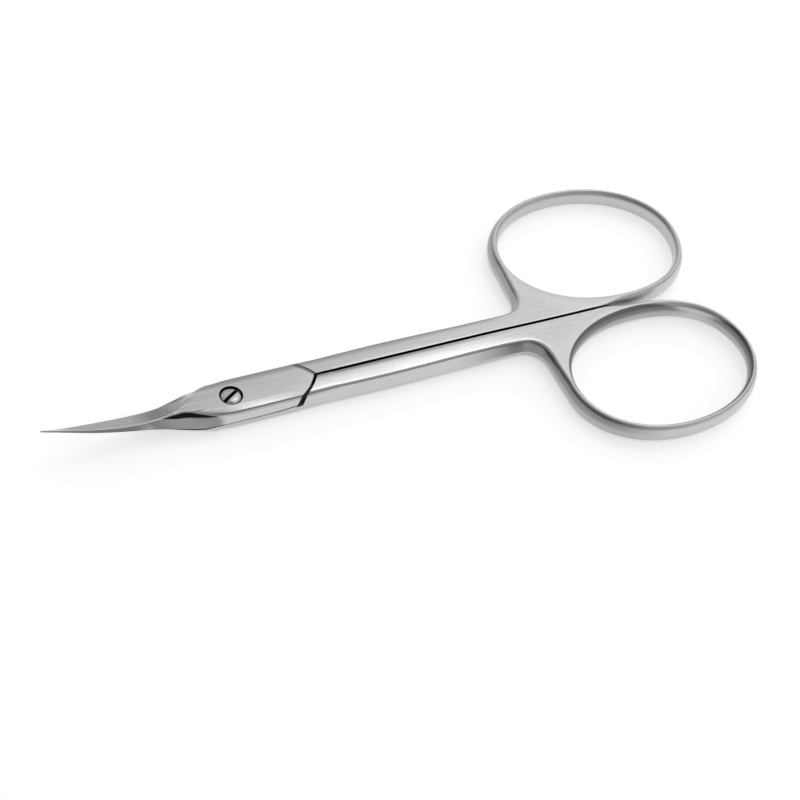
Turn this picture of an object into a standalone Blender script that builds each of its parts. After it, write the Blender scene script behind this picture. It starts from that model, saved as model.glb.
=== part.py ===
"""Curved nail scissors: two steel halves, lap jointed on one slotted screw.

The tips point along -X, the finger rings lie at +X and +Z is up along the pivot.
The origin is on the pivot axis, at the level that the closed scissors rest on.
The upper half carries the +Y ring and the lower half the -Y ring. Both are cut
from the same blank, so that plates, shoulders and blades meet as a ground pair.
"""

import math

import bmesh
import bpy
from mathutils import Matrix, Vector

# Overall sizes, in metres
blade_reach = 0.0234            # pivot axis to the blade tips
handle_reach = 0.0666           # pivot axis to the far end of the rings
blank_height = 0.0031           # both plates of the lap joint together
joint_half_width = 0.00295      # widest point of the joint, at mid height
top_camber = 0.0001             # crown of the shanks' upper face
edge_round = 0.0002             # width of the broken top edges
facing_depth = 0.00008          # by how much the upper plate is ground below the shanks
facing_reach = 0.008            # pivot axis to where the blades have dropped below that face

# Fits between the two halves and the screw
seam_gap = 0.0003               # between the closed shanks
mating_gap = 0.00015            # between the two plates, and between the blades
shoulder_gap = 0.0003           # between a plate's rear end and the other half's shoulder
screw_clearance = 0.00015

# Blades, which curve up towards the tips
tip_rise = 0.0033               # height of the tips over the joint's mid plane
bend_start = 0.003              # distance from the pivot at which the bend begins

# Round shoulders of the lap joint
shoulder_radius = 0.0081
shoulder_centre_x = 0.0040
shoulder_centre_y = 0.0041

# Shanks and the webs that join them to the rings
shank_overlap = 0.0028          # by how much the bar runs on inside the web, past the ring's front
web_lead = 0.0042               # from the web's start to the ring's front
web_height = 0.0025
web_land = 0.0020               # from where the closed rings part to the ring's centre
web_fillet = 0.0016
web_side = 0.0027               # half width at which the web leaves the shank
web_arc_start = math.radians(-72)   # the web's inner edge follows the strap between these
web_arc_end = math.radians(-174)
fillet_end = math.radians(-172)     # where the fillet runs out on the strap's outer side
fillet_sink_share = 0.45            # how far out in the strap's thickness it ends

# Finger rings: an oval strap on an oval path
ring_length = 0.0251            # long axis of the strap's centre line
ring_width = 0.0192
ring_clearance = 0.00045        # middle of the seam to the ring's nearest side
ring_tilt = math.radians(4)
ring_fullness_share = 0.572     # handle length of the path's Bezier points
far_fullness_share = 0.63       # the same on the quarter beside the seam, away from the web
strap_thickness = 0.0012
strap_height = 0.0026
strap_swell_share = 1.12        # the strap is thicker where it grows out of the web

# Pivot screw
head_radius = 0.0013
head_rim = 0.00025
head_height = 0.0008
shaft_radius = 0.0008
slot_width = 0.00035
slot_depth = 0.0004
slot_angle = math.radians(31)

overrun = 0.002                 # by how much every cutter passes what it cuts

# Sections of the blank. Each row holds: place along the blades or the shanks,
# half width, half height, near top edge, far top edge, and the foot of the near
# side's scoop, out from the axis and up, and the crown. Each blade's back lies along
# its near edge, and from there it slopes to its cutting edge. Widths and heights are
# shares of the blank's, edges and foot are shares of the row's own half width
# and half height, and the crown is a share of the shanks' camber.
blade_shares = (
    (1.00, 0.04, 0.12, 0.70, -0.30, 0.85, 0.50, 0.0),
    (0.85, 0.16, 0.20, 0.80, -0.40, 0.90, 0.50, 0.0),
    (0.75, 0.26, 0.29, 0.84, -0.50, 0.93, 0.50, 0.0),
    (0.66, 0.33, 0.37, 0.86, -0.54, 0.94, 0.50, 0.0),
    (0.53, 0.42, 0.51, 0.82, -0.50, 0.92, 0.50, 0.0),
    (0.44, 0.49, 0.63, 0.66, -0.36, 0.84, 0.50, 0.0),
    (0.36, 0.60, 0.77, 0.48, -0.22, 0.74, 0.52, 0.0),
    (0.31, 0.72, 0.89, 0.32, -0.08, 0.62, 0.56, 0.0),
    (0.27, 0.82, 0.96, 0.23, 0.02, 0.50, 0.60, 0.0),
    (0.24, 0.89, 0.99, 0.29, 0.20, 0.48, 0.60, 0.0),
    (0.205, 0.96, 1.00, 0.41, 0.42, 0.56, 0.58, 0.0),
    (0.17, 1.00, 1.00, 0.51, 0.60, 0.64, 0.58, 0.0),
    (0.12, 1.00, 1.00, 0.66, 0.77, 0.77, 0.62, 0.0),
    (0.07, 1.00, 1.00, 0.78, 0.80, 0.86, 0.60, 0.0),
    (0.00, 1.00, 1.00, 0.84, 0.84, 0.92, 0.50, 0.0),
)
shank_shares = (
    (0.10, 1.00, 1.00, 0.84, 0.84, 0.92, 0.50, 1.0),
    (0.25, 1.00, 1.00, 0.82, 0.82, 0.91, 0.50, 1.0),
    (0.42, 1.04, 1.00, 0.81, 0.81, 0.91, 0.50, 1.0),
    (0.55, 1.03, 1.00, 0.81, 0.81, 0.91, 0.50, 1.0),
    (0.70, 0.99, 0.98, 0.80, 0.80, 0.90, 0.50, 1.0),
    (0.80, 0.98, 0.94, 0.80, 0.80, 0.90, 0.50, 1.0),
    (0.90, 0.97, 0.87, 0.80, 0.80, 0.90, 0.50, 1.0),
    (1.00, 0.94, 0.70, 0.80, 0.80, 0.90, 0.50, 1.0),
)
stations_on_blade = 26
stations_on_shank = 15

mid_height = blank_height / 2
plate_top = blank_height - facing_depth
seam_side = seam_gap / 2
ring_centre_x = handle_reach - (ring_length + strap_thickness) / 2
ring_front_x = ring_centre_x - (ring_length + strap_thickness) / 2
ring_centre_y = ring_clearance + (ring_width + strap_thickness) / 2
shank_length = ring_front_x + shank_overlap
web_start = ring_front_x - web_lead
web_land_end = ring_centre_x - web_land
weld_distance = edge_round / 100


def clear_scene():
    for old in list(bpy.data.objects):
        bpy.data.objects.remove(old, do_unlink=True)


def new_collection(name):
    collection = bpy.data.collections.new(name)
    bpy.context.scene.collection.children.link(collection)
    return collection


def steel(name, colour, roughness):
    material = bpy.data.materials.new(name)
    material.use_nodes = True
    shader = material.node_tree.nodes["Principled BSDF"]
    shader.inputs["Base Color"].default_value = (*colour, 1)
    shader.inputs["Metallic"].default_value = 1
    shader.inputs["Roughness"].default_value = roughness
    return material


def add_object(name, mesh, collection):
    thing = bpy.data.objects.new(name, mesh)
    collection.objects.link(thing)
    return thing


def mesh_from(name, bm):
    bmesh.ops.recalc_face_normals(bm, faces=bm.faces)
    mesh = bpy.data.meshes.new(name)
    bm.to_mesh(mesh)
    bm.free()
    return mesh


def cutter(name, mesh):
    """A tool body: it shows as wire and isn't part of the scissors."""
    body = add_object(name, mesh, cutters)
    body.hide_render = True
    body.display_type = "WIRE"
    return body


def combine(target, tool, operation):
    step = target.modifiers.new(operation.lower() + "_" + tool.name, "BOOLEAN")
    step.operation = operation
    step.object = tool
    step.solver = "EXACT"


def shade(thing):
    thing.data.shade_smooth()
    thing.data.set_sharp_from_angle(angle=math.radians(32))


def smooth_row(rows, place):
    """Read one row from a table by place, with a Catmull-Rom curve through its rows."""
    places = [row[0] for row in rows]
    last = len(rows) - 2
    index = 0
    while index < last and place > places[index + 1]:
        index += 1
    before = rows[max(index - 1, 0)]
    start = rows[index]
    end = rows[index + 1]
    after = rows[min(index + 2, last + 1)]
    span = end[0] - start[0]
    t = min(max((place - start[0]) / span, 0), 1)
    result = []
    for column in range(1, len(start)):
        slope_in = (end[column] - before[column]) / (end[0] - before[0]) * span
        slope_out = (after[column] - start[column]) / (after[0] - start[0]) * span
        value = (2 * t**3 - 3 * t**2 + 1) * start[column] + (t**3 - 2 * t**2 + t) * slope_in
        value += (3 * t**2 - 2 * t**3) * end[column] + (t**3 - t**2) * slope_out
        result.append(value)
    return result


def mating_rise(radius):
    """Height of the mating surface over the mid plane.

    It depends on the distance from the pivot alone, so that the curved blades
    slide past each other at every opening, like two nested bowls.
    """
    run = blade_reach - bend_start
    bend_radius = (run**2 + tip_rise**2) / (2 * tip_rise)
    along = max(radius - bend_start, 0)
    return bend_radius - math.sqrt(bend_radius**2 - along**2)


def blank_section(x, row):
    """One closed section of the blank: its lower half is the upper one turned half round."""
    width_share, height_share, near_share, far_share, foot_y_share, foot_z_share, crown_share = row
    half_width = joint_half_width * width_share
    half_height = mid_height * height_share
    near = -half_width * near_share
    far = half_width * far_share
    broken = min(edge_round, (far - near) / 3)
    foot = Vector((-half_width * foot_y_share, half_height * foot_z_share))
    near_edge = Vector((near, half_height))
    far_edge = Vector((far, half_height))
    near_point = Vector((-half_width, 0))
    far_point = Vector((half_width, 0))
    upper = [
        near_point,
        foot,
        near_edge + (foot - near_edge).normalized() * broken,
        near_edge + Vector((broken, 0)),
        (near_edge + far_edge) / 2,
        far_edge - Vector((broken, 0)),
        far_edge + (far_point - far_edge).normalized() * broken,
        (far_edge + far_point) / 2,
        far_point,
    ]
    lower = [-point for point in upper[1:-1]]
    upper[4] += Vector((0, top_camber * crown_share))
    rise = mating_rise(-x) if x < 0 else 0
    return [Vector((x, point.x, mid_height + rise + point.y)) for point in upper + lower]


def loft(name, sections):
    """Skin a row of closed sections that have the same number of points."""
    bm = bmesh.new()
    loops = [[bm.verts.new(point) for point in section] for section in sections]
    count = len(loops[0])
    for first, second in zip(loops, loops[1:]):
        for i in range(count):
            j = (i + 1) % count
            bm.faces.new((first[i], first[j], second[j], second[i]))
    bm.faces.new(loops[0])
    bm.faces.new(reversed(loops[-1]))
    return mesh_from(name, bm)


def make_blank():
    """The whole closed bar, from the tips to the webs, before it is cut into halves."""
    rows = [(-row[0] * blade_reach, *row[1:]) for row in blade_shares]
    rows += [(row[0] * shank_length, *row[1:]) for row in shank_shares]
    places = [-blade_reach * (1 - i / stations_on_blade) for i in range(stations_on_blade)]
    places += [shank_length * i / stations_on_shank for i in range(stations_on_shank + 1)]
    return loft("blank", [blank_section(x, smooth_row(rows, x)) for x in places])


def prism(name, outline, low, high):
    """Extrude a plan outline from one height to another, as a filled 2D curve."""
    curve = bpy.data.curves.new(name, "CURVE")
    curve.dimensions = "2D"
    curve.fill_mode = "BOTH"
    curve.extrude = (high - low) / 2
    spline = curve.splines.new("POLY")
    spline.points.add(len(outline) - 1)
    for point, (x, y) in zip(spline.points, outline):
        point.co = (x, y, 0, 1)
    spline.use_cyclic_u = True
    return mesh_of_curve(name, curve, Matrix.Translation((0, 0, (low + high) / 2)))


def mesh_of_curve(name, curve, place):
    """Turn a curve into one closed mesh with its place applied."""
    guide = bpy.data.objects.new(name, curve)
    bpy.context.scene.collection.objects.link(guide)
    graph = bpy.context.evaluated_depsgraph_get()
    mesh = bpy.data.meshes.new_from_object(guide.evaluated_get(graph))
    bpy.data.objects.remove(guide, do_unlink=True)
    mesh.transform(place)
    bm = bmesh.new()
    bm.from_mesh(mesh)
    bmesh.ops.remove_doubles(bm, verts=bm.verts, dist=weld_distance)
    return mesh_from(name, bm)


def shoulder_arc(side, gap, steps=16):
    """Plan points of a round shoulder, from the middle of the seam out past the blank's side.

    side is +1 for the shoulder on the +Y side and -1 for the one on the -Y side.
    The gap is positive behind the true shoulder and negative in front of it.
    """
    radius = shoulder_radius + gap
    start = math.asin(shoulder_centre_y / radius)
    end = math.asin(min((shoulder_centre_y + joint_half_width + overrun) / radius, 1))
    points = []
    for i in range(steps + 1):
        angle = start + (end - start) * i / steps
        x = shoulder_centre_x + radius * math.cos(angle)
        y = radius * math.sin(angle) - shoulder_centre_y
        points.append((x, side * y))
    return points


def shank_cutter(name, side):
    """What the other half's shank fills, behind its round shoulder, at full height."""
    arc = shoulder_arc(side, -shoulder_gap)
    outer = side * (joint_half_width + 2 * overrun)
    inner = -side * seam_side
    behind = shank_length + overrun
    outline = [(arc[0][0], inner), *arc, (arc[-1][0], outer), (behind, outer), (behind, inner)]
    return cutter(name, prism(name, outline, -overrun, blank_height + overrun))


def turned(name, profile, steps):
    """Turn a profile of (radius, height) points, top to bottom, about the pivot axis."""
    bm = bmesh.new()
    verts = [bm.verts.new((radius, 0, height)) for radius, height in profile]
    for first, second in zip(verts, verts[1:]):
        bm.edges.new((first, second))
    mesh = bpy.data.meshes.new(name)
    bm.to_mesh(mesh)
    bm.free()
    body = add_object(name, mesh, cutters)
    screw = body.modifiers.new("turn", "SCREW")
    screw.steps = steps
    screw.render_steps = steps
    screw.use_merge_vertices = True
    screw.merge_threshold = weld_distance
    return body


def plate_cutter(name, side, upward):
    """What the other half's plate and blade fill, on their side of the mating surface.

    The bowl is turned about the pivot and keeps the mating gap to the surface.
    It is then trimmed in plan to what lies in front of the shoulder.
    """
    reach = blade_reach + overrun
    bowl_steps = 22
    shift = -mating_gap / 2 if upward else mating_gap / 2
    radii = [0, *[bend_start + (reach - bend_start) * i / bowl_steps for i in range(bowl_steps + 1)]]
    surface = [(radius, mid_height + shift + mating_rise(radius)) for radius in radii]
    far_level = blank_height + tip_rise + overrun if upward else -overrun
    if upward:
        profile = [(0, far_level), (reach, far_level), *reversed(surface)]
    else:
        profile = [*surface, (reach, far_level), (0, far_level)]
    bowl = turned(name, profile, steps=120)
    bowl.hide_render = True
    bowl.display_type = "WIRE"
    arc = shoulder_arc(side, 0)
    outer = side * (joint_half_width + 2 * overrun)
    behind = arc[0][0] + overrun
    outline = [(-reach - overrun, -outer), (behind, -outer), (behind, 0), *arc]
    outline += [(arc[-1][0], outer), (-reach - overrun, outer)]
    trim = cutter(name + "_trim", prism(name + "_trim", outline, -2 * overrun, 2 * tip_rise + blank_height))
    combine(bowl, trim, "INTERSECT")
    return bowl


def make_ring(name, side):
    """The oval strap of one finger ring: a round closed tube, stretched in height."""
    curve = bpy.data.curves.new(name, "CURVE")
    curve.dimensions = "3D"
    curve.bevel_depth = strap_thickness / 2
    curve.bevel_resolution = 4
    curve.resolution_u = 18
    spline = curve.splines.new("BEZIER")
    spline.bezier_points.add(3)
    tilt = Matrix.Rotation(-side * ring_tilt, 3, "Z")
    corners = ((1, 0), (0, side), (-1, 0), (0, -side))
    fullness = (ring_fullness_share, ring_fullness_share, ring_fullness_share, far_fullness_share)
    for i, (u, v) in enumerate(corners):
        corner = Vector((u * ring_length / 2, v * ring_width / 2, 0))
        along = side * Vector((-v * ring_length / 2, u * ring_width / 2, 0))
        point = spline.bezier_points[i]
        point.handle_left_type = "FREE"
        point.handle_right_type = "FREE"
        point.co = tilt @ corner
        point.handle_left = tilt @ (corner - along * fullness[i - 1])
        point.handle_right = tilt @ (corner + along * fullness[i])
        near_web = (u, v) in ((-1, 0), (0, -side))
        point.radius = strap_swell_share if near_web else 1
    spline.use_cyclic_u = True
    stretch = Matrix.Diagonal((1, 1, strap_height / strap_thickness, 1))
    place = Matrix.Translation((ring_centre_x, side * ring_centre_y, mid_height))
    return cutter(name, mesh_of_curve(name, curve, place @ stretch))


def ring_path_point(angle, side, outset=0):
    """A plan point on the strap's centre line, or moved outwards from it."""
    u = (ring_length / 2 + outset) * math.cos(angle)
    v = (ring_width / 2 + outset) * math.sin(angle)
    x = u * math.cos(ring_tilt) + v * math.sin(ring_tilt)
    y = v * math.cos(ring_tilt) - u * math.sin(ring_tilt)
    return ring_centre_x + x, side * (ring_centre_y + y)


def make_web(name, side):
    """The flat web between shank, seam and ring, with a hollow fillet on its outer side."""
    fillet_x = ring_front_x - web_fillet
    fillet_y = web_side + web_fillet
    arc_steps = 17
    fillet_steps = 8
    outline = [(web_start, side * seam_side), (web_land_end, side * seam_side)]
    for i in range(arc_steps + 1):
        angle = web_arc_start + (web_arc_end - web_arc_start) * i / arc_steps
        outline.append(ring_path_point(angle, side))
    outline.append(ring_path_point(fillet_end, side, strap_thickness * fillet_sink_share))
    for i in range(fillet_steps + 1):
        angle = math.pi / 2 * i / fillet_steps
        x = fillet_x + web_fillet * math.cos(angle)
        y = fillet_y - web_fillet * math.sin(angle)
        outline.append((x, side * y))
    outline.append((web_start, side * web_side))
    low = mid_height - web_height / 2
    return cutter(name, prism(name, outline, low, low + web_height))


def screw_profile(clearance, past):
    """Countersunk pivot screw, or with a clearance the hole that it fits.

    The profile runs past the plates' faces at both ends by the given length.
    """
    rim_level = plate_top - head_rim - clearance
    cone_level = plate_top - head_height - clearance
    return [
        (0, plate_top + past),
        (head_radius + clearance, plate_top + past),
        (head_radius + clearance, rim_level),
        (shaft_radius + clearance, cone_level),
        (shaft_radius + clearance, -past),
        (0, -past),
    ]


def make_screw_hole():
    hole = turned("screw_hole", screw_profile(screw_clearance, overrun), steps=48)
    hole.hide_render = True
    hole.display_type = "WIRE"
    return hole


def make_facing():
    """What is ground off the upper plate, in front of both round shoulders."""
    near = shoulder_arc(-1, 0)
    far = shoulder_arc(1, 0)
    outline = [(-facing_reach, near[-1][1]), *reversed(near), *far[1:], (-facing_reach, far[-1][1])]
    return cutter("plate_facing", prism("plate_facing", outline, plate_top, blank_height + overrun))


def make_screw():
    """The slotted screw: countersunk in the upper half, its end flush under the lower one."""
    body = turned("pivot_screw", screw_profile(0, 0), steps=48)
    cutters.objects.unlink(body)
    scissors.objects.link(body)
    bm = bmesh.new()
    bmesh.ops.create_cube(bm, size=1)
    size = (2 * (head_radius + overrun), slot_width, 2 * slot_depth)
    bm.transform(Matrix.Diagonal((*size, 1)))
    slot = cutter("screw_slot", mesh_from("screw_slot", bm))
    slot.location = (0, 0, plate_top)
    slot.rotation_euler = (0, 0, slot_angle)
    combine(body, slot, "DIFFERENCE")
    body.data.materials.append(steel("screw_steel", (0.46, 0.46, 0.47), 0.32))
    return body


def make_half(name, side, upward):
    """One half: its share of the blank, with its web and ring, bored for the screw."""
    half = add_object(name, blank.copy(), scissors)
    combine(half, shank_cutter(name + "_shank_cutter", -side), "DIFFERENCE")
    combine(half, plate_cutter(name + "_plate_cutter", side, not upward), "DIFFERENCE")
    if upward:
        combine(half, make_facing(), "DIFFERENCE")
    combine(half, make_web(name + "_web", side), "UNION")
    combine(half, make_ring(name + "_ring", side), "UNION")
    combine(half, screw_hole, "DIFFERENCE")
    half.data.materials.append(steel(name + "_steel", (0.62, 0.62, 0.63), 0.26))
    return half


clear_scene()
scissors = new_collection("nail_scissors")
cutters = new_collection("cutters")
blank = make_blank()
screw_hole = make_screw_hole()
upper_half = make_half("upper_half", 1, True)
lower_half = make_half("lower_half", -1, False)
pivot_screw = make_screw()
for piece in scissors.objects:
    shade(piece)
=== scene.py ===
"""Looks of the curved nail scissors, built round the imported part.

Every shape is drawn in millimetres from the pivot axis and the joint's mid plane,
with the tips along -X and the finger rings at +X, and is placed in metres at the end.
"""

import math

import bmesh
import bpy
from mathutils import Matrix, Vector
from mathutils.geometry import delaunay_2d_cdt


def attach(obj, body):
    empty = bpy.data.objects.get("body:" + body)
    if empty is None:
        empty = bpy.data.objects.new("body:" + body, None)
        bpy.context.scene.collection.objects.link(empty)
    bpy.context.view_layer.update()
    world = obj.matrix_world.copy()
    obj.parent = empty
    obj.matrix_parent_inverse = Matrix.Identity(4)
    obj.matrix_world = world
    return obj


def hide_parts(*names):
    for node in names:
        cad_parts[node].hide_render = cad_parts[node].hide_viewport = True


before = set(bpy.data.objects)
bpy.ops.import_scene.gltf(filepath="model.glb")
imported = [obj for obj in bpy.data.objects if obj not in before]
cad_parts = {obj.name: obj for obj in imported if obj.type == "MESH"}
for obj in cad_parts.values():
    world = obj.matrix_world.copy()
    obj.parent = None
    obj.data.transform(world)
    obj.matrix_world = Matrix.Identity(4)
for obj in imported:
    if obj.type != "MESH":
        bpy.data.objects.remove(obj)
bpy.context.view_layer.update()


# Handle of each half: bar, web and finger ring
# One drop forging of stainless steel, ground on all its sides and then polished. The
# web's flat top runs out into the crest of the oval strap, and at the outer side the
# bar's bevelled flank turns through a hollow fillet into the strap's rounded wall.

bar_start = 13.0
bar_end = 34.5
bar_step = 1.5
bar_widths = (
    (5, 2.95), (10.8, 2.95), (18.1, 3.07), (23.7, 3.04), (30.2, 2.92), (34.5, 2.89), (37, 2.89),
)
bar_heights = (
    (13, 1.55), (22, 1.55), (30, 1.53), (35, 1.5), (40, 1.46), (46, 1.41), (52, 1.38), (58, 1.38),
)
bevel_inset = 0.95
bevel_corner = 0.62
bevel_share = 0.81
seam_side = 0.18
seam_break = 0.05
seam_share = 0.96
crown = 0.10
crown_half_width = 2.26
crown_end = (33, 43)
under_relief = 0.08
web_slope = (0.1, 3.4)

ring_centre = Vector((53.45, 10.65))
ring_half_length = 12.55
ring_half_width = 9.60
ring_tilt = math.radians(4)
ring_fullness = (0.572, 0.572, 0.572, 0.63)
strap_half_thickness = 0.59
strap_half_height = 1.29
strap_swell = 0.12
swell_start = (0.9, 2)
swell_end = (3, 4)

# where the strap leaves the crotch and the fillet, in quarter turns, and the lines there
crotch_turn = 3.1
fillet_turn = 2.07
crotch_line = ((49.5, 0.15), (50.5, 0.155), (51.5, 0.20), (52.5, 0.29), (53.6, 0.36))
crest_line = (
    (49.5, seam_side + seam_break), (50.5, 0.28), (51.5, 0.47), (52.5, 0.68), (53.6, 0.86),
)
fillet_line = (
    (40.22, 9.3), (40.16, 8.0), (40.10, 6.6), (39.98, 5.4), (39.72, 4.4),
    (39.18, 3.55), (38.35, 3.05), (37.3, 2.91), (36.2, 2.885),
)
crotch_rounds = (0, 0.8)
fillet_widens = (3.2, 8)
fillet_rounds = (2.95, 6.4)

profile_rows = 12
bevel_rows = 6
seam_rows = 7
seam_columns = 72
strap_columns = 124
web_columns = 48
end_columns = 8
crotch_step = 0.35
fillet_step = 0.3
face_step = 0.5
face_row_share = 0.866
face_clear_share = 0.6
path_steps = 160


def flow(rows, place):
    """Read a table by its first column, with a Catmull-Rom curve through its rows."""
    last = len(rows) - 2
    index = 0
    while index < last and place > rows[index + 1][0]:
        index += 1
    before, start = rows[max(index - 1, 0)], rows[index]
    end, after = rows[index + 1], rows[min(index + 2, last + 1)]
    span = end[0] - start[0]
    t = min(max((place - start[0]) / span, 0), 1)
    values = []
    for column in range(1, len(start)):
        slope_in = (end[column] - before[column]) / (end[0] - before[0]) * span
        slope_out = (after[column] - start[column]) / (after[0] - start[0]) * span
        value = (2 * t**3 - 3 * t**2 + 1) * start[column] + (t**3 - 2 * t**2 + t) * slope_in
        value += (3 * t**2 - 2 * t**3) * end[column] + (t**3 - t**2) * slope_out
        values.append(value)
    return values if len(values) > 1 else values[0]


def ease(value, low, high):
    t = min(max((value - low) / (high - low), 0), 1)
    return t * t * (3 - 2 * t)


def through(points, step):
    """A smooth plan line through the given points, sampled about every step."""
    lengths = [0]
    for a, b in zip(points, points[1:]):
        lengths.append(lengths[-1] + (Vector(b) - Vector(a)).length)
    rows = [(along, *point) for along, point in zip(lengths, points)]
    count = max(round(lengths[-1] / step), 1)
    return [Vector(flow(rows, lengths[-1] * i / count)) for i in range(count + 1)]


def ring_path(turn):
    """Plan point and outward normal on the strap's centre line, after so many quarter turns."""
    corners = ((1, 0), (0, 1), (-1, 0), (0, -1))
    quarter = int(turn) % 4
    t = turn - int(turn)
    ends = []
    for u, v in (corners[quarter], corners[(quarter + 1) % 4]):
        here = Vector((u * ring_half_length, v * ring_half_width))
        along = Vector((-v * ring_half_length, u * ring_half_width)) * ring_fullness[quarter]
        ends.append((here, along))
    (a, run_a), (d, run_d) = ends
    b, c = a + run_a, d - run_d
    point = (1 - t) ** 3 * a + 3 * t * (1 - t) ** 2 * b + 3 * t * t * (1 - t) * c + t**3 * d
    slope = (1 - t) ** 2 * (b - a) + 2 * t * (1 - t) * (c - b) + t * t * (d - c)
    back = Matrix.Rotation(-ring_tilt, 2)
    slope = back @ slope
    return ring_centre + back @ point, Vector((slope.y, -slope.x)).normalized()


def swell(turn):
    """The strap is thicker beside the web than at the ring's free end."""
    t = turn % 4
    return 1 + strap_swell * ease(t, *swell_start) * (1 - ease(t, *swell_end))


def strap_at(turn):
    """Centre of the strap, its outward normal and its half thickness."""
    centre, out = ring_path(turn)
    return centre, out, strap_half_thickness * swell(turn)


def free_turn(i):
    """Turn of one column of the strap, from the crotch round the free end to the fillet."""
    return crotch_turn + (fillet_turn + 4 - crotch_turn) * i / strap_columns


def bar_profile(k):
    """Inset and height shares up the bevelled flank of the bar, which ends in a broken edge."""
    if k <= bevel_rows:
        share = bevel_share * k / bevel_rows
        return bevel_corner * share, share
    t = (k - bevel_rows) / (profile_rows - bevel_rows)
    a = Vector((bevel_corner * bevel_share, bevel_share))
    b, c = Vector((bevel_corner, 1)), Vector((1, 1))
    return (1 - t) ** 2 * a + 2 * t * (1 - t) * b + t * t * c


def strap_profile(k):
    angle = math.pi / 2 * k / profile_rows
    return 1 - math.cos(angle), math.sin(angle)


def seam_profile(k):
    """The seam's wall is square to the table, with its upper edge just taken off."""
    if k <= seam_rows:
        return 0, seam_share * k / seam_rows
    t = (k - seam_rows) / (profile_rows - seam_rows)
    return t * t, seam_share + (1 - seam_share) * (2 * t - t * t)


def crown_share(y):
    return 1 - min(abs(y) / crown_half_width, 1) ** 2


path_samples = [ring_path(4 * i / path_steps)[0] for i in range(path_steps)]


def top_height(point, up):
    """Height of the upper or lower face over the mid plane, anywhere on bar, web and crest."""
    distances = [(point - sample).length for sample in path_samples]
    nearest = min(distances)
    crest = strap_half_height * swell(4 * distances.index(nearest) / path_steps)
    fade = 1 - ease(point.x, *crown_end)
    face = flow(bar_heights, point.x) - (0 if up else under_relief * fade)
    face += (crown if up else under_relief) * fade * crown_share(point.y)
    return crest + (face - crest) * ease(nearest, *web_slope)


def outer_rim():
    """Outer rim of bar, web and ring: foot, inward crest point and profile weights."""
    rim = []
    for i in range(seam_columns):
        x = bar_start + (crotch_line[0][0] - bar_start) * i / seam_columns
        rim.append((Vector((x, seam_side)), Vector((x, seam_side + seam_break)), (0, 0, 1)))
    centre, out, half = strap_at(crotch_turn)
    crotch = through([*crotch_line, tuple(centre + out * half)], crotch_step)
    crest = through([*crest_line, tuple(centre)], crotch_step)
    count = min(len(crotch), len(crest)) - 1
    for i in range(count):
        share = i / count
        foot = crotch[round(share * (len(crotch) - 1))]
        inner = crest[round(share * (len(crest) - 1))]
        rounded = ease(share, *crotch_rounds)
        rim.append((foot, inner, (0, rounded, 1 - rounded)))
    first_free = len(rim)
    for i in range(strap_columns + 1):
        centre, out, half = strap_at(free_turn(i))
        rim.append((centre + out * half, centre, (0, 1, 0)))
    last_free = len(rim) - 1
    bar_places = [bar_end - bar_step * i for i in range(14)] + [bar_start]
    bar_side = [(x, flow(bar_widths, x)) for x in bar_places]
    line = through([tuple(rim[-1][0]), *fillet_line, *bar_side], fillet_step)
    strap_wide = strap_half_thickness * swell(2)
    for i, foot in enumerate(line[1:], 1):
        along = line[min(i + 1, len(line) - 1)] - line[i - 1]
        inward = Vector((-along.y, along.x)).normalized()
        if i == len(line) - 1:
            inward = Vector((0, -1))
        wide = bevel_inset + (strap_wide - bevel_inset) * ease(foot.y, *fillet_widens)
        rounded = ease(foot.y, *fillet_rounds)
        rim.append((foot, foot + inward * wide, (1 - rounded, rounded, 0)))
    return rim, first_free, last_free


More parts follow.
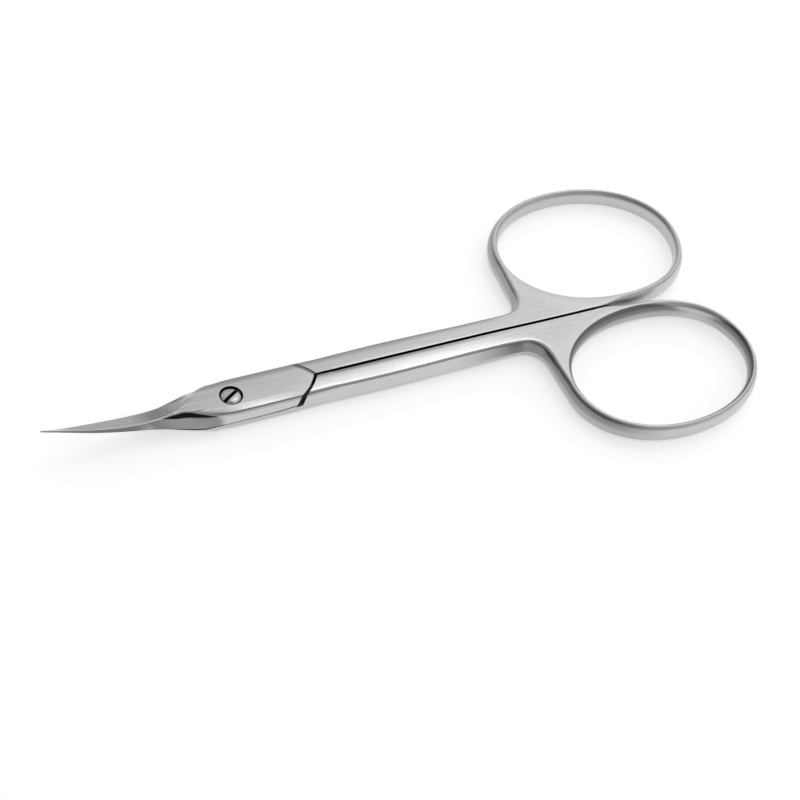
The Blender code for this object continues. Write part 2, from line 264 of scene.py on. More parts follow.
def make_handle():
    bm = bmesh.new()
    rim, first_free, last_free = outer_rim()
    holes = [(free_turn(i), first_free + i) for i in range(strap_columns + 1)]
    for i in reversed(range(1, web_columns)):
        holes.append((crotch_turn + (fillet_turn - crotch_turn) * i / web_columns, None))
    feet = [bm.verts.new((*foot, 0)) for foot, inner, weights in rim]
    hole_feet = []
    for turn, i in holes:
        centre, out, half = strap_at(turn)
        hole_feet.append(bm.verts.new((*(centre - out * half), 0)))
    ends = {}
    for up in (True, False):
        sign = 1 if up else -1
        columns = []
        for (foot, inner, weights), base in zip(rim, feet):
            height = top_height(inner, up)
            column = [base]
            for k in range(1, profile_rows + 1):
                shares = (bar_profile(k), strap_profile(k), seam_profile(k))
                inset = sum(weight * share[0] for weight, share in zip(weights, shares))
                rise = sum(weight * share[1] for weight, share in zip(weights, shares))
                column.append(bm.verts.new((*foot.lerp(inner, inset), sign * height * rise)))
            columns.append(column)
        hole_columns = []
        for (turn, i), base in zip(holes, hole_feet):
            centre, out, half = strap_at(turn)
            height = top_height(centre, up)
            column = [base]
            for k in range(1, profile_rows):
                inset, rise = strap_profile(k)
                place = centre - out * half * (1 - inset)
                column.append(bm.verts.new((*place, sign * height * rise)))
            if i is None:
                column.append(bm.verts.new((*centre, sign * height)))
            else:
                column.append(columns[i][-1])
            hole_columns.append(column)
        pairs = list(zip(columns, columns[1:])) + list(zip(hole_columns, hole_columns[1:]))
        for one, two in [*pairs, (hole_columns[-1], hole_columns[0])]:
            for k in range(profile_rows):
                bm.faces.new((one[k], two[k], two[k + 1], one[k + 1]))
        border = [column[-1] for column in columns[:first_free + 1]]
        border += [column[-1] for column in reversed(hole_columns[strap_columns + 1:])]
        border += [column[-1] for column in columns[last_free:]]
        end_row = []
        for j in range(1, end_columns):
            point = Vector((bar_start, rim[-1][1].y * (1 - j / end_columns)))
            end_row.append(bm.verts.new((*point, sign * top_height(point, up))))
        fill_face(bm, border + end_row, up)
        ends[up] = columns[0], columns[-1], end_row
    seam_up, side_up, row_up = ends[True]
    seam_down, side_down, row_down = ends[False]
    bm.faces.new([
        *seam_up, *reversed(row_up), *reversed(side_up),
        *side_down[1:], *row_down, *reversed(seam_down[1:]),
    ])
    bmesh.ops.recalc_face_normals(bm, faces=bm.faces)
    return bm


def fill_face(bm, border, up):
    """Fill the web's and the bar's face with small triangles that follow its crown."""
    outline = [vert.co.xy.copy() for vert in border]
    low_x, high_x = min(point.x for point in outline), max(point.x for point in outline)
    y, high_y = min(point.y for point in outline), max(point.y for point in outline)
    grid = []
    row = 0
    while y < high_y:
        x = low_x + (face_step / 2 if row % 2 else 0)
        while x < high_x:
            point = Vector((x, y))
            clear = min((point - edge).length for edge in outline)
            if inside(point, outline) and clear > face_clear_share * face_step:
                grid.append(point)
            x += face_step
        y += face_step * face_row_share
        row += 1
    count = len(border)
    loop = list(range(count))
    points, _, faces, origins, *_ = delaunay_2d_cdt(outline + grid, [], [loop], 1, 1e-6)
    made = []
    for point, origin in zip(points, origins):
        if origin and origin[0] < count:
            made.append(border[origin[0]])
        else:
            made.append(bm.verts.new((*point, (1 if up else -1) * top_height(point, up))))
    for face in faces:
        bm.faces.new([made[i] for i in face])


def inside(point, outline):
    hit = False
    for a, b in zip(outline, [*outline[1:], outline[0]]):
        if (a.y > point.y) != (b.y > point.y):
            if point.x < (b.x - a.x) * (point.y - a.y) / (b.y - a.y) + a.x:
                hit = not hit
    return hit


handle = make_handle()


# Lap joint and blades of both halves
# The two blanks are ground as one closed pair. Each half keeps one plate and one blade,
# and they meet on a surface turned about the pivot, so that they slide when it opens.

blade_reach = 23.4
tip_rise = 3.3
bend_start = 3.0
bend_radius = ((blade_reach - bend_start) ** 2 + tip_rise**2) / (2 * tip_rise)
plate_height = 1.55
plate_half_width = 2.95
mating_gap = 0.12
shoulder_gap = 0.40
shoulder_centre = Vector((4.0, 4.1))
shoulder_radius = 8.2
edge_break = 0.36
# x, half width, half height, then as shares of these: near and far top edge, and the
# foot of the scoop on the near side, out and up
blade_rows = (
    (-23.4, 0.12, 0.18, 0.70, -0.54, 0.85, 0.50),
    (-19.9, 0.47, 0.31, 0.80, -0.68, 0.90, 0.50),
    (-17.5, 0.76, 0.45, 0.84, -0.74, 0.93, 0.50),
    (-15.4, 0.97, 0.57, 0.86, -0.76, 0.94, 0.50),
    (-12.4, 1.24, 0.79, 0.82, -0.71, 0.92, 0.50),
    (-10.3, 1.45, 0.98, 0.66, -0.53, 0.84, 0.50),
    (-8.4, 1.77, 1.19, 0.48, -0.33, 0.74, 0.52),
    (-7.3, 2.12, 1.38, 0.32, -0.16, 0.62, 0.56),
    (-6.3, 2.42, 1.49, 0.23, -0.02, 0.50, 0.60),
    (-5.6, 2.63, 1.53, 0.29, 0.20, 0.48, 0.60),
    (-4.8, 2.83, 1.55, 0.41, 0.42, 0.56, 0.58),
    (-4.0, 2.95, 1.55, 0.51, 0.60, 0.64, 0.58),
    (-2.8, 2.95, 1.55, 0.66, 0.77, 0.77, 0.62),
    (-1.6, 2.95, 1.55, 0.78, 0.80, 0.86, 0.60),
    (0.0, 2.95, 1.55, 0.84, 0.84, 0.92, 0.50),
    (5.0, 2.95, 1.55, 0.84, 0.84, 0.92, 0.50),
    (9.0, 2.95, 1.55, 0.84, 0.84, 0.92, 0.50),
)
# where the plate's edges and faces turn into the bar's
plate_end = 5
edges_turn = (7, bar_start)
crown_start = (2, 7)
relief_start = (5, 12)

foot_row = 4
edge_row = 8
top_columns = 16
blade_step = 0.35
root_step = 0.2
root_start = -9.05
joint_start = 0.15
joint_columns = 36
bowl_rows = 50
bowl_columns = 240
bore_columns = 64
shoulder_steps = 40
sharp_angle = math.radians(30)

# how far the cutting tools run past what they cut
past = 2.0
tool_out = 8
tool_below = -6
tool_above = 6
bowl_top = 10
bowl_cut = (-9, 12)


def mating_rise(radius):
    return bend_radius - math.sqrt(bend_radius**2 - max(radius - bend_start, 0) ** 2)


def upper_outline(x, up):
    """The upper side of the closed pair's section, from the near to the far parting line."""
    wide, high, near, far, foot_y, foot_z = flow(blade_rows, x)
    if x > plate_end:
        wide = flow(bar_widths, x)
        at_bar = 1 - bevel_inset * bevel_corner / wide
        near = far = near + (at_bar - near) * ease(x, *edges_turn)
        foot_y = (1 + near) / 2
    dome = crown * ease(x, *crown_start)
    if not up:
        dome = under_relief * ease(x, *relief_start)
        high -= dome
    break_width = min(edge_break, (far + near) * wide / 4)
    near_high = high + dome * crown_share(abs(near * wide - break_width))
    far_high = high + dome * crown_share(abs(far * wide - break_width))
    middle, edge = Vector((-wide, 0)), Vector((-near * wide, near_high))
    points = flank(middle, Vector((-foot_y * wide, foot_z * high)), edge, break_width)
    middle, edge = Vector((wide, 0)), Vector((far * wide, far_high))
    far_side = flank(middle, (middle + edge) / 2, edge, -break_width)
    first, last = points[-1], far_side[-1]
    for j in range(1, top_columns):
        y = first.x + (last.x - first.x) * j / top_columns
        points.append(Vector((y, high + dome * crown_share(y))))
    return points + list(reversed(far_side))


def flank(middle, foot, edge, break_width):
    """Points up one side: straight to the scoop's foot, on to the edge, and over its break."""
    points = [middle.lerp(foot, k / foot_row) for k in range(foot_row)]
    begin = edge + (foot - edge).normalized() * abs(break_width)
    rows = edge_row - foot_row
    points += [foot.lerp(begin, k / rows) for k in range(rows + 1)]
    end = edge + Vector((break_width, 0))
    for k in range(edge_row + 1, profile_rows + 1):
        t = (k - edge_row) / (profile_rows - edge_row)
        points.append((1 - t) ** 2 * begin + 2 * t * (1 - t) * edge + t * t * end)
    return points


def make_blank():
    """Both plates and blades in one piece, from the tips to where the handles begin."""
    places = [-blade_reach + blade_step * i for i in range(41)]
    places += [root_start + root_step * i for i in range(1, 47)]
    joint_run = bar_start - joint_start
    places += [joint_start + joint_run * i / joint_columns for i in range(1, joint_columns + 1)]
    bm = bmesh.new()
    loops = []
    for x in places:
        rise = mating_rise(-x) if x < 0 else 0
        loop = upper_outline(x, True)
        loop += [-point for point in upper_outline(x, False)[1:-1]]
        loops.append([bm.verts.new((x, point.x, point.y + rise)) for point in loop])
    for one, two in zip(loops, loops[1:]):
        for i in range(len(one)):
            j = (i + 1) % len(one)
            bm.faces.new((one[i], one[j], two[j], two[i]))
    bm.faces.new(loops[0])
    bm.faces.new(reversed(loops[-1]))
    return bm


def solid(name, bm):
    bmesh.ops.recalc_face_normals(bm, faces=bm.faces)
    mesh = bpy.data.meshes.new(name)
    bm.to_mesh(mesh)
    bm.free()
    thing = bpy.data.objects.new(name, mesh)
    bpy.context.scene.collection.objects.link(thing)
    return thing


def prism(outline, low, high):
    bm = bmesh.new()
    rings = [[bm.verts.new((x, y, level)) for x, y in outline] for level in (low, high)]
    for i in range(len(outline)):
        j = (i + 1) % len(outline)
        bm.faces.new((rings[0][i], rings[0][j], rings[1][j], rings[1][i]))
    bm.faces.new(rings[0])
    bm.faces.new(reversed(rings[1]))
    return solid("tool", bm)


def turned(profile, steps):
    """Turn a profile of (radius, height) about the pivot; it begins and ends on the axis."""
    bm = bmesh.new()
    ends = [bm.verts.new((0, 0, profile[0][1])), bm.verts.new((0, 0, profile[-1][1]))]
    turns = [2 * math.pi * i / steps for i in range(steps)]
    rings = []
    for radius, height in profile[1:-1]:
        places = [(radius * math.cos(a), radius * math.sin(a), height) for a in turns]
        rings.append([bm.verts.new(place) for place in places])
    for i in range(steps):
        j = (i + 1) % steps
        bm.faces.new((ends[0], rings[0][i], rings[0][j]))
        bm.faces.new((ends[1], rings[-1][j], rings[-1][i]))
        for one, two in zip(rings, rings[1:]):
            bm.faces.new((one[i], two[i], two[j], one[j]))
    return solid("tool", bm)


def cut(thing, tool, operation="DIFFERENCE"):
    step = thing.modifiers.new("cut", "BOOLEAN")
    step.object = tool
    step.operation = operation
    step.solver = "EXACT"
    graph = bpy.context.evaluated_depsgraph_get()
    thing.data = bpy.data.meshes.new_from_object(thing.evaluated_get(graph))
    thing.modifiers.clear()
    bpy.data.objects.remove(tool, do_unlink=True)


def shoulder(side, gap):
    """Plan points of one half's round shoulder, from the seam out past the flank."""
    radius = shoulder_radius + gap
    first = math.asin(shoulder_centre.y / radius)
    last = math.asin(min((shoulder_centre.y + plate_half_width + past) / radius, 1))
    points = []
    for i in range(shoulder_steps + 1):
        angle = first + (last - first) * i / shoulder_steps
        out = radius * math.sin(angle) - shoulder_centre.y
        points.append((shoulder_centre.x + radius * math.cos(angle), side * out))
    return points


def cut_to_half(thing, side, upper):
    """Take off what belongs to the other half: its bar, its plate and its blade."""
    arc = shoulder(-side, -shoulder_gap)
    behind, outer = bar_start + past, -side * tool_out
    outline = [
        (arc[0][0], side * seam_side), *arc, (arc[-1][0], outer),
        (behind, outer), (behind, side * seam_side),
    ]
    cut(thing, prism(outline, tool_below, tool_above))
    shift = mating_gap / 2 if upper else -mating_gap / 2
    reach = blade_reach + past
    radii = [bend_start + (reach - bend_start) * i / bowl_rows for i in range(bowl_rows + 1)]
    surface = [(0, shift), *[(radius, shift + mating_rise(radius)) for radius in radii]]
    level = tool_below if upper else bowl_top
    bowl = turned([*surface, (reach, level), (0, level)], bowl_columns)
    arc = shoulder(side, 0)
    front, back = -reach - past, arc[0][0] + past
    outline = [(front, -side * tool_out), (back, -side * tool_out), (back, 0), *arc]
    outline += [(arc[-1][0], side * tool_out), (front, side * tool_out)]
    cut(bowl, prism(outline, *bowl_cut), "INTERSECT")
    cut(thing, bowl)


def on_table(mesh):
    """Take a mesh from millimetres round the mid plane to metres over the table."""
    mesh.transform(Matrix.Scale(0.001, 4) @ Matrix.Translation((0, 0, plate_height)))


def join_handle(thing, side):
    """Add the handle behind the joint, and set the whole half in metres over the table."""
    bm = bmesh.new()
    bm.from_mesh(thing.data)
    half = handle.copy()
    half.transform(Matrix.Diagonal((1, side, 1, 1)))
    if side < 0:
        bmesh.ops.reverse_faces(half, faces=half.faces)
    part = bpy.data.meshes.new("part")
    half.to_mesh(part)
    half.free()
    bm.from_mesh(part)
    bpy.data.meshes.remove(part)
    on_table(bm)
    bm.to_mesh(thing.data)
    bm.free()
    thing.data.shade_smooth()
    thing.data.set_sharp_from_angle(angle=sharp_angle)


# Lower half, with the near ring
# The forging that lies on the table, of stainless steel: near ring, bar, lower plate and
# lower blade. It is cut from the closed pair, and bored for the screw that it holds.

bore_radius = 0.95
# near black, for the painted shade in crevices, gaps and beside the table, and the painted shadow
# in the hollow
painted_shadow_black = (0.02, 0.02, 0.02, 1)
duller_steel = (0.545, 0.545, 0.55, 1)
brighter_steel = (0.60, 0.60, 0.605, 1)
# grinding lines per mm, lengthwise, across and up, and how rough they, the haze, the
# strap's grinding and the hollow's painted shadow make the steel, and how smooth a worn edge is
line_scale = (0.25, 5, 5)
line_strength = 0.12
line_depth = 0.00004
haze_scale = 170
line_satin = (0.15, 0.22)
haze_satin = 0.05
ring_satin = 0.10
worn_satin = 0.05
hollow_satin = 0.25
worn_edge = (0.53, 0.60)
# how far from what hides it the painted shade in crevices and beside the table reaches, and how
# it fades
shade_reach = 0.0008
shade_fade = (0.15, 0.5)
# sideways part of a face's direction on a broken edge and on a steep flank, and upward
# part on a flat face, on the strap's walls and on the fillet's wall
tipped = (0.12, 0.35)
past_tipped = (0.72, 0.88)
steep = (0.6, 0.85)
flat_face = (0.5, 0.8)
strap_wall = (0.88, 0.98)
fillet_wall = (0.6, 0.85)
# the strap's grinding, its inner and its outer wall, as shares of its centre line's size
strap_band = (1.06, 1.2)
strap_inside = (0.99, 1.01)
strap_outside = (1.0, 1.03)
# where the painted shade beside the seam ends, and the painted dark strip on the far bar begins
seam_reach = (0.25, 0.9)
strip_side = (1.4, 2.2)
upper_flank_height = (0.9, 1.2)
# where the painted shade on the steel fades in and out, along the scissors
blade_middle = (-13, -9)
blade_root = (-13, -7)
scoop_end = (-6.5, -2.5)
plate_start = (-4, -1.5)
plate_fade = (8, 14)
seam_fade = (20, 42)
fillet_fade = (28, 38)
strip_fade = (34, 38)
bar_fade = (35, 38)
ring_start = (38, 40)
ring_fade = (42, 50)
# how much the painted shade darkens each of them
flank_shade = 0.7
scoop_shade = 0.5
edge_shade = 0.3
strip_shade = 0.32
upper_flank_shade = 0.3
# the painted shadow in the hollow under the plate's near edge: its middle and half length,
# height and half height
hollow_middle, hollow_half_length = -5.7, 3.4
hollow_height, hollow_half_height = 1.09, 0.25
hollow_edge = (0.8, 1.1)
# the painted shadow in the gap at the shoulder: how dark it is on the near and on the far side,
# and its soft edge
gap_shades = (0.78, 0.5)
gap_edge = 0.03


def math_step(operation, *sources):
    """Add one Math node to the material that the given outputs belong to."""
    tree = next(source.id_data for source in sources if isinstance(source, bpy.types.NodeSocket))
    step = tree.nodes.new("ShaderNodeMath")
    step.operation = operation
    for socket, source in zip(step.inputs, sources):
        if isinstance(source, bpy.types.NodeSocket):
            tree.links.new(source, socket)
        else:
            socket.default_value = source
    return step.outputs[0]


def product(*sources):
    result = sources[0]
    for source in sources[1:]:
        result = math_step("MULTIPLY", result, source)
    return result


def ramp(source, start, end, low, high, shape="SMOOTHSTEP"):
    """Go from low to high while the source goes from start to end."""
    tree = source.id_data
    step = tree.nodes.new("ShaderNodeMapRange")
    step.interpolation_type = shape
    tree.links.new(source, step.inputs["Value"])
    step.inputs["From Min"].default_value = start
    step.inputs["From Max"].default_value = end
    step.inputs["To Min"].default_value = low
    step.inputs["To Max"].default_value = high
    return step.outputs[0]


def rises(source, start, end):
    return ramp(source, start, end, 0, 1)


def falls(source, start, end):
    return ramp(source, start, end, 1, 0)


def parts(vector):
    tree = vector.id_data
    split = tree.nodes.new("ShaderNodeSeparateXYZ")
    tree.links.new(vector, split.inputs[0])
    return split.outputs


def blend(share, first, second):
    """The first colour where the share is 0, the second where it is 1."""
    tree = share.id_data
    step = tree.nodes.new("ShaderNodeMix")
    step.data_type = "RGBA"
    tree.links.new(share, step.inputs[0])
    step.inputs[6].default_value = first
    if isinstance(second, bpy.types.NodeSocket):
        tree.links.new(second, step.inputs[7])
    else:
        step.inputs[7].default_value = second
    return step.outputs[2]


def relief(shader, height, strength, distance):
    tree = height.id_data
    step = tree.nodes.new("ShaderNodeBump")
    step.inputs["Strength"].default_value = strength
    step.inputs["Distance"].default_value = distance
    tree.links.new(height, step.inputs["Height"])
    tree.links.new(step.outputs[0], shader.inputs["Normal"])


def steel(name):
    """A plain metal to be finished: the material, its nodes and links, and its shader."""
    material = bpy.data.materials.new(name)
    material.use_nodes = True
    nodes, links = material.node_tree.nodes, material.node_tree.links
    shader = nodes["Principled BSDF"]
    shader.inputs["Metallic"].default_value = 1
    return material, nodes, links, shader


def openness(nodes, distance):
    """How open a place is to the air, within the distance."""
    shelter = nodes.new("ShaderNodeAmbientOcclusion")
    shelter.samples = 8
    shelter.inputs["Distance"].default_value = distance
    return shelter.outputs["AO"]


def grinding_lines(nodes, links, along, across, height):
    """Streaks that are long in one direction and fine in the other two."""
    join = nodes.new("ShaderNodeCombineXYZ")
    for socket, source, scale in zip(join.inputs, (along, across, height), line_scale):
        links.new(product(source, scale), socket)
    noise = nodes.new("ShaderNodeTexNoise")
    noise.inputs["Scale"].default_value = 1
    noise.inputs["Detail"].default_value = 3
    noise.inputs["Roughness"].default_value = 0.7
    links.new(join.outputs[0], noise.inputs["Vector"])
    return noise.outputs["Fac"]


def ground_finish_and_shade(name, inner_shade, outer_shade, seam_shade):
    """Stainless steel ground along the bars and round the rings, lightly polished, with painted
    shade.
    """
    material, nodes, links, shader = steel(name)
    coordinates = nodes.new("ShaderNodeTexCoord")
    where = coordinates.outputs["Object"]
    x, y, z = (product(part, 1000) for part in parts(where))
    side = math_step("ABSOLUTE", y)

    # round the ring: 1 on the strap's centre line, less inside it and more outside
    u = math_step("DIVIDE", math_step("SUBTRACT", x, ring_centre.x), ring_half_length)
    v = math_step("DIVIDE", math_step("SUBTRACT", side, ring_centre.y), ring_half_width)
    out = math_step("SQRT", math_step("ADD", product(u, u), product(v, v)))
    mean = (ring_half_length + ring_half_width) / 2
    round_ring = product(math_step("ARCTAN2", v, u), mean)
    on_ring = falls(out, *strap_band)
    grain = nodes.new("ShaderNodeMix")
    links.new(on_ring, grain.inputs[0])
    links.new(grinding_lines(nodes, links, x, y, z), grain.inputs[2])
    links.new(grinding_lines(nodes, links, round_ring, product(out, mean), z), grain.inputs[3])
    grain = grain.outputs[0]

    haze = nodes.new("ShaderNodeTexNoise")
    haze.inputs["Scale"].default_value = haze_scale
    haze.inputs["Detail"].default_value = 3
    links.new(where, haze.inputs["Vector"])
    worn = rises(nodes.new("ShaderNodeNewGeometry").outputs["Pointiness"], *worn_edge)
    open_to_air = rises(openness(nodes, shade_reach), *shade_fade)

    # which way a place faces, and how far it lies over the curved mating surface
    _, face_y, face_z = parts(coordinates.outputs["Normal"])
    sideways = math_step("ABSOLUTE", face_y)
    upright = ramp(face_z, -0.1, 0.2, 0.25, 1)
    reach = math_step("MAXIMUM", math_step("SUBTRACT", product(x, -1), bend_start), 0)
    rise = math_step("DIVIDE", product(reach, reach), 2 * bend_radius)
    over_middle = math_step("SUBTRACT", math_step("SUBTRACT", z, plate_height), rise)
    towards_far = product(face_y, math_step("SIGN", over_middle))
    near = falls(towards_far, -0.3, -0.1)
    far = math_step("SUBTRACT", 1, near)

    # painted shade and painted dark reflections on the flanks, scoop, broken edges, far strip and
    # seam
    blade_flank = product(falls(x, *blade_root), rises(sideways, *steep), near)
    scoop = product(
        rises(x, *blade_middle), falls(x, *scoop_end), rises(sideways, *tipped), far,
        ramp(over_middle, -0.1, 0.1, 0.4, 1),
    )
    broken_edge = product(
        rises(sideways, *tipped), falls(sideways, *past_tipped),
        falls(x, *bar_fade), rises(x, *plate_start), near,
    )
    strip = product(rises(y, *strip_side), rises(face_z, *flat_face), falls(x, *strip_fade))
    seam = product(falls(side, *seam_reach), falls(x, *seam_fade))
    upper_flank = product(
        rises(over_middle, *upper_flank_height), rises(sideways, *steep),
        falls(x, *plate_fade), rises(x, *plate_start),
    )
    # painted dark reflections on the ring's inner wall and on its outer wall by the fillet
    inner_wall = product(
        falls(out, *strap_inside), upright, falls(face_z, *strap_wall), rises(x, *ring_start),
    )
    outer_wall = product(
        rises(out, *strap_outside), upright, falls(face_z, *fillet_wall),
        falls(x, *ring_fade), rises(x, *fillet_fade),
    )
    walls = math_step(
        "MAXIMUM", product(inner_wall, inner_shade), product(outer_wall, outer_shade),
    )

    # painted shadow in the gap in front of the round shoulder, seen on the upper side only
    beside = math_step("ADD", side, shoulder_centre.y)
    behind = math_step("SUBTRACT", x, shoulder_centre.x)
    behind = product(behind, math_step("ABSOLUTE", behind))
    radius = math_step("ADD", behind, product(beside, beside))
    radius = math_step("SQRT", math_step("MAXIMUM", radius, 0))
    half_gap = shoulder_gap / 2
    from_gap = math_step("ABSOLUTE", math_step("SUBTRACT", radius, shoulder_radius - half_gap))
    gap = product(
        falls(from_gap, half_gap - gap_edge, half_gap + gap_edge),
        ramp(y, -0.1, 0.1, *gap_shades), rises(over_middle, -0.08, 0.04),
    )

    # painted shadow in the hollow under the plate's near edge, where the steel is also rougher
    along = math_step("DIVIDE", math_step("SUBTRACT", x, hollow_middle), hollow_half_length)
    up = math_step("SUBTRACT", math_step("ABSOLUTE", over_middle), hollow_height)
    up = math_step("DIVIDE", math_step("ABSOLUTE", up), hollow_half_height)
    hollow = product(falls(math_step("ADD", up, product(along, along)), *hollow_edge), near)

    hazy = ramp(haze.outputs["Fac"], 0.4, 0.65, 0, haze_satin)
    satin = math_step("ADD", ramp(grain, 0.3, 0.7, *line_satin), hazy)
    satin = math_step("ADD", satin, product(on_ring, ring_satin))
    satin = math_step("SUBTRACT", satin, product(worn, worn_satin))
    satin = math_step("ADD", satin, product(hollow, hollow_satin))
    links.new(satin, shader.inputs["Roughness"])

    bright = math_step("MAXIMUM", rises(grain, 0.25, 0.75), worn)
    # the painted shade takes the steel's own colour down
    painted_tone = math_step("SUBTRACT", 1, walls)
    for place, shade in (
        (blade_flank, flank_shade), (scoop, scoop_shade), (broken_edge, edge_shade),
        (strip, strip_shade), (upper_flank, upper_flank_shade), (seam, seam_shade),
    ):
        painted_tone = math_step("SUBTRACT", painted_tone, product(place, shade))
    painted_tone = product(painted_tone, math_step("SUBTRACT", 1, gap))
    shaded = nodes.new("ShaderNodeVectorMath")
    shaded.operation = "SCALE"
    links.new(blend(bright, duller_steel, brighter_steel), shaded.inputs[0])
    links.new(painted_tone, shaded.inputs["Scale"])
    # painted shade where the steel is closed in, in crevices and beside the table, and painted
    # shadow in the hollow
    unshaded = product(open_to_air, math_step("SUBTRACT", 1, hollow))
    links.new(blend(unshaded, painted_shadow_black, shaded.outputs[0]), shader.inputs["Base Color"])
    relief(shader, grain, line_strength, line_depth)
    return material


lower = solid("lower_forging", make_blank())
cut_to_half(lower, -1, False)
bore = [(0, tool_above), (bore_radius, tool_above), (bore_radius, tool_below), (0, tool_below)]
cut(lower, turned(bore, bore_columns))
join_handle(lower, -1)
# how deep the painted shade goes on the ring's inner and outer walls and beside the seam
lower.data.materials.append(ground_finish_and_shade(
    "lower_ground_steel", inner_shade=0.67, outer_shade=0.55, seam_shade=0.5,
))
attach(lower, "lower")
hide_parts("lower_half")


# Upper half, with the far ring
# The other forging, of the same steel, which turns on the lower plate. Its plate's face is
# ground to a shallow dome between the shoulders, and countersunk for the screw's head.

ground_level = 1.47
ground_reach = 8.0
face_dome = 0.04
face_dome_half_width = 2.5
grinder_half_width = 4
grinder_top = 4
grinder_length = 12
grinder_cut = (0, 5)
grinder_columns = 32
countersink_radius = 1.44
countersink_start = 0.38
countersink_end = 0.9

upper = solid("upper_forging", make_blank())
cut_to_half(upper, 1, True)

face_line = []
for i in range(grinder_columns + 1):
    y = grinder_half_width * (2 * i / grinder_columns - 1)
    face_line.append((ground_level + face_dome * (1 - (y / face_dome_half_width) ** 2), y))
face_line += [(grinder_top, grinder_half_width), (grinder_top, -grinder_half_width)]
grinder = prism(face_line, -grinder_length, grinder_length)
grinder.data.transform(Matrix(((0, 0, 1, 0), (0, 1, 0, 0), (1, 0, 0, 0), (0, 0, 0, 1))))
grinder.data.flip_normals()
near_arc, far_arc = shoulder(-1, 0), shoulder(1, 0)
outline = [
    (-ground_reach, near_arc[-1][1]), *reversed(near_arc),
    *far_arc[1:], (-ground_reach, far_arc[-1][1]),
]
cut(grinder, prism(outline, *grinder_cut), "INTERSECT")
cut(upper, grinder)

countersink = [
    (0, tool_above), (countersink_radius, tool_above),
    (countersink_radius, ground_level - countersink_start),
    (bore_radius, ground_level - countersink_end), (bore_radius, tool_below), (0, tool_below),
]
cut(upper, turned(countersink, bore_columns))
join_handle(upper, 1)
upper.data.materials.append(ground_finish_and_shade(
    "upper_ground_steel", inner_shade=0.05, outer_shade=0.42, seam_shade=0.0,
))
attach(upper, "upper")
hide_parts("upper_half")


# Pivot screw
# A countersunk screw of turned steel, with a domed head and a sawn slot. It is screwed
# into the lower half until the halves just turn, and its end is ground flush underneath.

head = (
    (0, 1.50), (0.5, 1.49), (0.85, 1.455), (1.08, 1.39), (1.22, 1.30), (1.29, 1.18), (1.3, 1.08),
)
shank_radius = 0.8
shank_top = 0.58
slot_half_width = 0.23
slot_half_length = 4
slot_floor = 0.9
slot_top = 3
slot_turn = math.radians(31)
screw_columns = 96
screw_sharp_angle = math.radians(25)
turned_steel = (0.50, 0.50, 0.51, 1)
turning_scale = 9000
turning_strength = 0.15
turning_depth = 0.00003
turned_satin = (0.2, 0.32)
slot_shade_reach = 0.0005
slot_shade_fade = (0.35, 0.8)
# in metres: the screw's middle, and how far from it the slot's painted shade ends
screw_middle = 0.0015
slot_shade_end = (0.00112, 0.00138)


def turned_finish_and_shade(name):
    """Turned steel, a little darker: fine rings round the head, and painted shade in the slot."""
    material, nodes, links, shader = steel(name)
    x, y, z = parts(nodes.new("ShaderNodeTexCoord").outputs["Object"])
    rings = nodes.new("ShaderNodeTexNoise")
    rings.noise_dimensions = "1D"
    rings.inputs["Scale"].default_value = turning_scale
    rings.inputs["Detail"].default_value = 2
    radius = math_step("SQRT", math_step("ADD", product(x, x), product(y, y)))
    links.new(radius, rings.inputs["W"])
    rings = rings.outputs["Fac"]
    links.new(ramp(rings, 0.3, 0.7, *turned_satin, "LINEAR"), shader.inputs["Roughness"])
    open_to_air = ramp(openness(nodes, slot_shade_reach), *slot_shade_fade, 0, 1, "LINEAR")
    # no painted shade at either end of the screw, painted shade down in the slot
    to_ends = math_step("ABSOLUTE", math_step("SUBTRACT", z, screw_middle))
    at_ends = ramp(to_ends, *slot_shade_end, 0, 1, "LINEAR")
    colour = blend(product(open_to_air, at_ends), painted_shadow_black, turned_steel)
    links.new(colour, shader.inputs["Base Color"])
    relief(shader, rings, turning_strength, turning_depth)
    return material


shank = [(shank_radius, shank_top), (shank_radius, -plate_height), (0, -plate_height)]
screw = turned([*head, *shank], screw_columns)
screw.name = "slotted_screw"
slot = prism([
    (-slot_half_length, -slot_half_width), (slot_half_length, -slot_half_width),
    (slot_half_length, slot_half_width), (-slot_half_length, slot_half_width),
], slot_floor, slot_top)
slot.data.transform(Matrix.Rotation(slot_turn, 4, "Z"))
cut(screw, slot)
on_table(screw.data)
screw.data.shade_smooth()
screw.data.set_sharp_from_angle(angle=screw_sharp_angle)
screw.data.materials.append(turned_finish_and_shade("screw_steel"))
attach(screw, "lower")
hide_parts("pivot_screw")


# Studio
# White paper under a white sky. Eight curved cards, black but glowing in even greys, stand round
# the scissors and over them, where the steel mirrors them and the camera doesn't see them,
# and one soft lamp lights from the back right.

floor_reach = 4
paper_white = (0.85, 0.85, 0.85, 1)
paper_glow = 0.53
card_distance = 0.7
card_columns = 24
card_rows = 8
lamp_size = 0.22
lamp_energy = 0.20
lamp_distance = 0.7
lamp_turn = math.radians(36)
lamp_height = math.radians(61)
# name, directions round the scissors, viewing heights, glow at the foot and at the top
cards = (
    ("left_card", (140, 236), (0, 56), (0.15, 0.27)),
    ("left_front_card", (236, 256), (0, 58), (0.28, 0.36)),
    ("left_back_card", (114, 140), (0, 58), (0.42, 0.52)),
    ("back_card", (60, 114), (0, 60), (0.56, 0.80)),
    ("front_card", (256, 300), (0, 60), (0.48, 0.48)),
    ("right_card", (300, 378), (0, 61), (0.68, 0.64)),
    ("camera_card", (62, 312), (60, 76), (0.46, 0.30)),
    ("top_card", (0, 360), (76, 89.9), (0.28, 0.28)),
)

scene = bpy.context.scene
scene.view_settings.view_transform = "Standard"


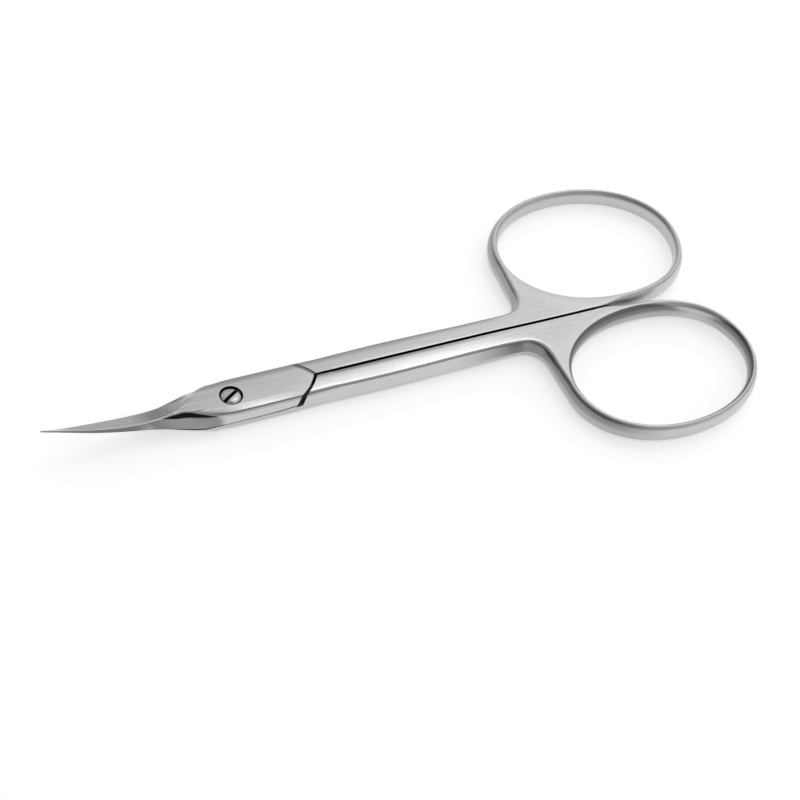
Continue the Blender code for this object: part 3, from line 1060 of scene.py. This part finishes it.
def paper_finish(name, colour):
    """Quite matt, with a white glow of its own: the material, its nodes and its shader."""
    material = bpy.data.materials.new(name)
    material.use_nodes = True
    shader = material.node_tree.nodes["Principled BSDF"]
    shader.inputs["Base Color"].default_value = colour
    shader.inputs["Roughness"].default_value = 1
    shader.inputs["Specular IOR Level"].default_value = 0
    shader.inputs["Emission Color"].default_value = (1, 1, 1, 1)
    return material, material.node_tree.nodes, shader


floor_mesh = bpy.data.meshes.new("floor")
corners = [(-floor_reach, -floor_reach, 0), (floor_reach, -floor_reach, 0)]
corners += [(floor_reach, floor_reach, 0), (-floor_reach, floor_reach, 0)]
floor_mesh.from_pydata(corners, [], [(0, 1, 2, 3)])
floor = bpy.data.objects.new("floor", floor_mesh)
scene.collection.objects.link(floor)
paper, nodes, shader = paper_finish("paper", paper_white)
path = nodes.new("ShaderNodeLightPath")
seen = math_step("MAXIMUM", path.outputs["Is Camera Ray"], path.outputs["Is Glossy Ray"])
seen = math_step("MAXIMUM", seen, path.outputs["Is Transmission Ray"])
glow = product(seen, paper_glow)
paper.node_tree.links.new(glow, shader.inputs["Emission Strength"])
floor_mesh.materials.append(paper)


def card(name, turns, heights, greys):
    """A curved card round the scissors, between two directions and two viewing heights."""
    corners = []
    for j in range(card_rows + 1):
        rise = math.radians(heights[0] + (heights[1] - heights[0]) * j / card_rows)
        for i in range(card_columns + 1):
            turn = math.radians(turns[0] + (turns[1] - turns[0]) * i / card_columns)
            flat, high = card_distance * math.cos(rise), card_distance * math.sin(rise)
            corners.append((flat * math.cos(turn), flat * math.sin(turn), high))
    faces = []
    wide = card_columns + 1
    for j in range(card_rows):
        for i in range(card_columns):
            first = j * wide + i
            faces.append((first, first + 1, first + wide + 1, first + wide))
    mesh = bpy.data.meshes.new(name)
    mesh.from_pydata(corners, [], faces)
    sheet = bpy.data.objects.new(name, mesh)
    scene.collection.objects.link(sheet)
    sheet.visible_camera = False
    material, nodes, shader = paper_finish(name, (0, 0, 0, 1))
    height = parts(nodes.new("ShaderNodeTexCoord").outputs["Object"])[2]
    low, high = corners[0][2], corners[-1][2]
    grey = ramp(height, low, high, greys[0], greys[1], "LINEAR")
    material.node_tree.links.new(grey, shader.inputs["Emission Strength"])
    mesh.materials.append(material)


for row in cards:
    card(*row)

lamp = bpy.data.lights.new("softbox", "AREA")
lamp.shape = "RECTANGLE"
lamp.size = lamp_size
lamp.size_y = lamp_size
lamp.energy = lamp_energy
softbox = bpy.data.objects.new("softbox", lamp)
towards = Vector((math.cos(lamp_turn), math.sin(lamp_turn), 0)) * math.cos(lamp_height)
towards.z = math.sin(lamp_height)
softbox.location = lamp_distance * towards
softbox.rotation_euler = towards.to_track_quat("Z", "Y").to_euler()
scene.collection.objects.link(softbox)

world = bpy.data.worlds.new("studio")
scene.world = world
world.use_nodes = True
sky = world.node_tree.nodes["Background"]
sky.inputs["Color"].default_value = (1, 1, 1, 1)
sky.inputs["Strength"].default_value = 1


# Camera
# A long lens that looks down on the scissors from the front left, a little rolled, at the
# photo's viewing angle.

camera_place = (-0.070377, -0.146227, 0.198257)
pan, tilt, roll = (math.radians(angle) for angle in (32.678, 49.647, 12.048))
lens_length = 95.97

ahead = Vector((math.sin(pan) * math.cos(tilt), math.cos(pan) * math.cos(tilt), -math.sin(tilt)))
level = Vector((math.cos(pan), -math.sin(pan), 0))
above = level.cross(ahead)
right = math.cos(roll) * level + math.sin(roll) * above
up = math.cos(roll) * above - math.sin(roll) * level
camera = bpy.data.objects.new("camera", bpy.data.cameras.new("camera"))
scene.collection.objects.link(camera)
aim = Matrix((right, up, -ahead)).transposed().to_4x4()
camera.matrix_world = Matrix.Translation(camera_place) @ aim
camera.data.lens = lens_length
camera.data.clip_start = 0.01
scene.camera = camera
